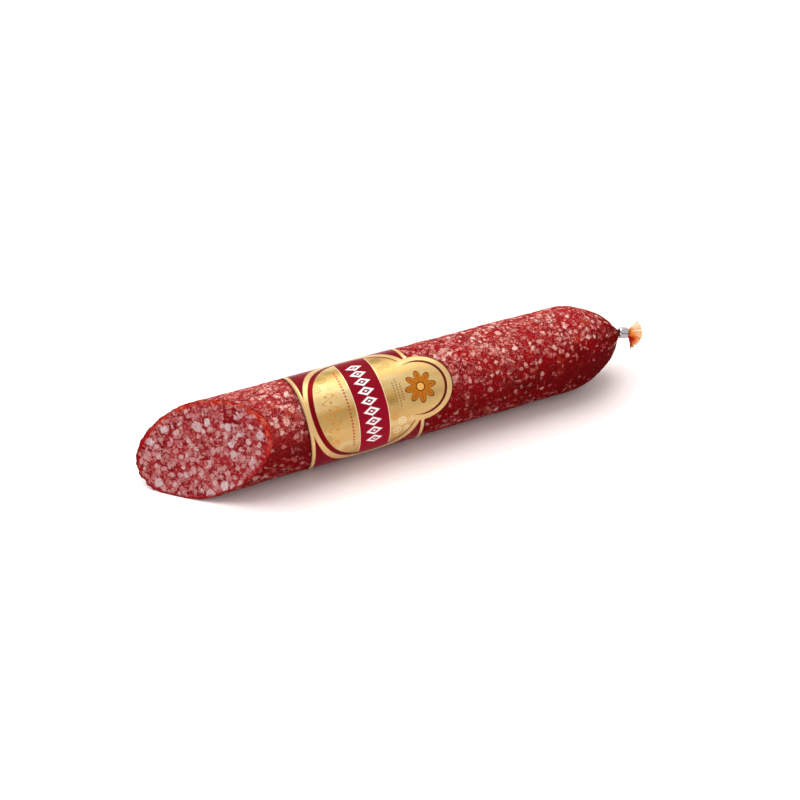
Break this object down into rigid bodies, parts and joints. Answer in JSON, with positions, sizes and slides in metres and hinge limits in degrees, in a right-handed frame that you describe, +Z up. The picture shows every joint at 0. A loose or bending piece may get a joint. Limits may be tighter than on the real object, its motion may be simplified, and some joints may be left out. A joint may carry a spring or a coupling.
{
  "type": "cured sausage",
  "caption": "Cured salami-style sausage with one end cut on the slant, the other gathered and closed by a metal clip, with a paper label band.",
  "frame": {"origin": "bottom centre of the overall box, on the surface that the sausage lies on", "axes": "+X along the sausage from the cut end to the clip end, +Y to the back, +Z up"},
  "size_m": [0.2742, 0.0462, 0.045],
  "materials": {
    "meat": "moist cut face, pink-red with pale fat",
    "casing": "thin glossy translucent film over flecked meat",
    "clip": "bare, crimped",
    "label": "satin foil paper, gold and burgundy"
  },
  "bodies": {
    "root": {"meat_filling": "meat", "casing": "casing", "clip": "clip", "label": "label"}
  },
  "joints": []
}
